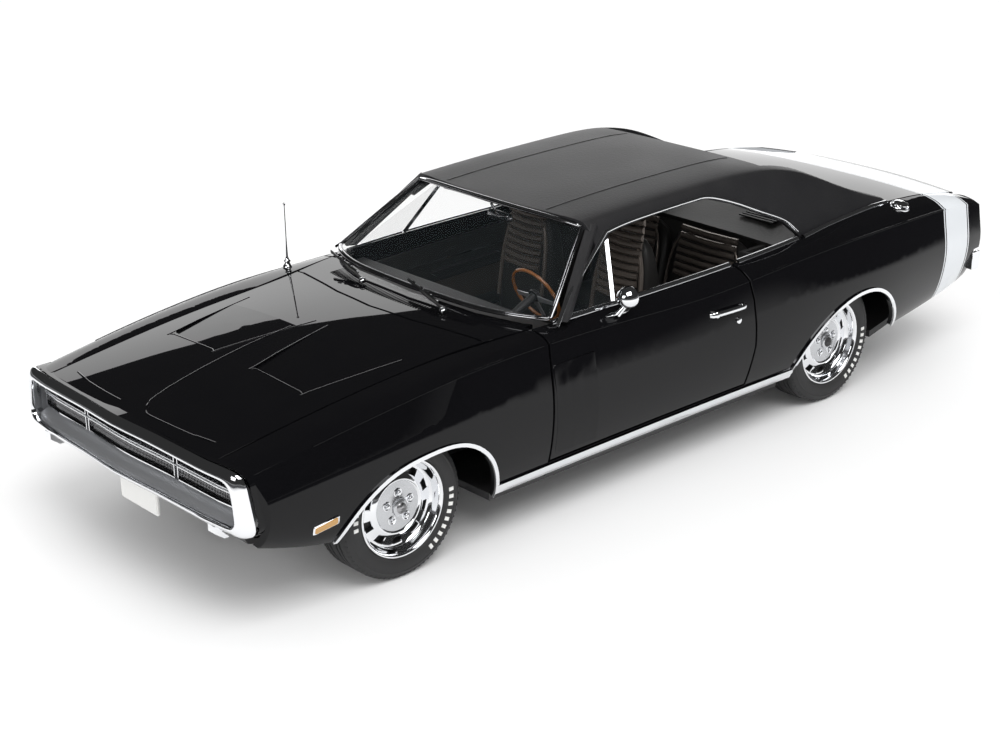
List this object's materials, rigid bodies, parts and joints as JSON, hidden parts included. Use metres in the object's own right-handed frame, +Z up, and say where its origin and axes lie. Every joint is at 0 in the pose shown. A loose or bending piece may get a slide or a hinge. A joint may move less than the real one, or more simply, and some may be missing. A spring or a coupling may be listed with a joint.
{
  "type": "1:18 scale model muscle car",
  "caption": "Scale model of a two-door fastback muscle car with opening doors, hood and trunk lid, free-rolling wheels and working steering.",
  "frame": {"origin": "on the ground under the middle of the model's bounding box", "axes": "+X forwards to the nose, +Y to the car's left side, +Z up"},
  "size_m": [0.2942, 0.1088, 0.0748],
  "materials": {
    "black_paint": "high-gloss black enamel on cast metal",
    "vinyl_top": "satin charcoal roof covering with fine seams",
    "chrome": "bright plated trim",
    "clear_glass": "clear moulded window",
    "black_plastic": "satin black moulding",
    "argent_grille": "silver-grey moulding with dark slots",
    "red_lamp": "clear red moulding",
    "amber_lamp": "clear amber moulding in a bright bezel",
    "white_plate": "blank white plate",
    "argent_wheel": "bright rim with an argent disc",
    "tyre_rubber": "black vinyl with raised white bars",
    "seat_vinyl": "black moulding made to look like vinyl, with silver-brown pleats",
    "wood_rim": "brown wood-look rim on silver spokes",
    "chassis_metal": "dark plain metal",
    "engine_blue": "blue enamel",
    "dull_steel": "dull bare steel"
  },
  "bodies": {
    "body": {"air_cleaner": "chrome", "antenna": "chrome", "base_plate": "chassis_metal", "body_trim": "chrome", "cabin_tub": "black_plastic", "console": "black_plastic", "cowl_panel": "black_paint", "dashboard": "black_plastic", "driveline": "dull_steel", "engine": "engine_blue", "engine_bay": "black_plastic", "exhaust": "dull_steel", "fenders": "black_paint", "front_bumper": "chrome", "front_crossmember": "chassis_metal", "front_plate": "white_plate", "front_seats": "seat_vinyl", "front_valance": "black_paint", "fuel_cap": "chrome", "fuel_tank": "dull_steel", "grille": "argent_grille", "hinge_pins": "dull_steel", "quarters": "black_paint", "rear_axle": "chassis_metal", "rear_bench": "seat_vinyl", "rear_bumper": "chrome", "rear_shelf": "black_paint", "rear_window": "clear_glass", "roof": "vinyl_top", "side_markers": "amber_lamp", "sills": "black_paint", "steering_wheel": "wood_rim", "tail_lamps": "red_lamp", "tail_panel": "black_paint", "trunk_floor": "black_plastic", "windshield": "clear_glass", "wipers": "chrome"},
    "hood": {"hood": "black_paint", "hood_hinges": "dull_steel"},
    "trunk_lid": {"trunk_lid": "black_paint", "lid_hinges": "dull_steel"},
    "door_left": {"door_left": "black_paint", "vent_window_left": "clear_glass", "door_fittings_left": "chrome", "door_mirror": "chrome"},
    "door_right": {"door_right": "black_paint", "vent_window_right": "clear_glass", "door_fittings_right": "chrome"},
    "knuckle_left": {"knuckle_left": "chassis_metal"},
    "knuckle_right": {"knuckle_right": "chassis_metal"},
    "wheel_front_left": {"tyre_front_left": "tyre_rubber", "rim_front_left": "argent_wheel"},
    "wheel_front_right": {"tyre_front_right": "tyre_rubber", "rim_front_right": "argent_wheel"},
    "wheel_rear_left": {"tyre_rear_left": "tyre_rubber", "rim_rear_left": "argent_wheel"},
    "wheel_rear_right": {"tyre_rear_right": "tyre_rubber", "rim_rear_right": "argent_wheel"}
  },
  "joints": [
    {"name": "hood_hinge", "type": "hinge", "parent": "body", "child": "hood", "pos_m": [0.05465, 0, 0.04801], "axis": [0, -1, 0], "range_deg": [0, 50]},
    {"name": "trunk_hinge", "type": "hinge", "parent": "body", "child": "trunk_lid", "pos_m": [-0.09412, 0, 0.05126], "axis": [0, 1, 0], "range_deg": [0, 50]},
    {"name": "door_hinge_left", "type": "hinge", "parent": "body", "child": "door_left", "pos_m": [0.05798, 0.0483, 0.032], "axis": [0, 0, -1], "range_deg": [0, 60]},
    {"name": "door_hinge_right", "type": "hinge", "parent": "body", "child": "door_right", "pos_m": [0.05798, -0.0483, 0.032], "axis": [0, 0, 1], "range_deg": [0, 60]},
    {"name": "steer_left", "type": "hinge", "parent": "body", "child": "knuckle_left", "pos_m": [0.0955, 0.038, 0.01855], "axis": [0, 0, 1], "range_deg": [-12, 12]},
    {"name": "steer_right", "type": "hinge", "parent": "body", "child": "knuckle_right", "pos_m": [0.0955, -0.038, 0.01855], "axis": [0, 0, 1], "range_deg": [-12, 12]},
    {"name": "spin_front_left", "type": "hinge", "parent": "knuckle_left", "child": "wheel_front_left", "pos_m": [0.0955, 0.0418, 0.01855], "axis": [0, 1, 0], "continuous": true},
    {"name": "spin_front_right", "type": "hinge", "parent": "knuckle_right", "child": "wheel_front_right", "pos_m": [0.0955, -0.0418, 0.01855], "axis": [0, 1, 0], "continuous": true},
    {"name": "spin_rear_left", "type": "hinge", "parent": "body", "child": "wheel_rear_left", "pos_m": [-0.0696, 0.04175, 0.01855], "axis": [0, 1, 0], "continuous": true},
    {"name": "spin_rear_right", "type": "hinge", "parent": "body", "child": "wheel_rear_right", "pos_m": [-0.0696, -0.04175, 0.01855], "axis": [0, 1, 0], "continuous": true}
  ],
  "couplings": [
    {"joint": "steer_right", "follows": "steer_left", "ratio": 1}
  ]
}
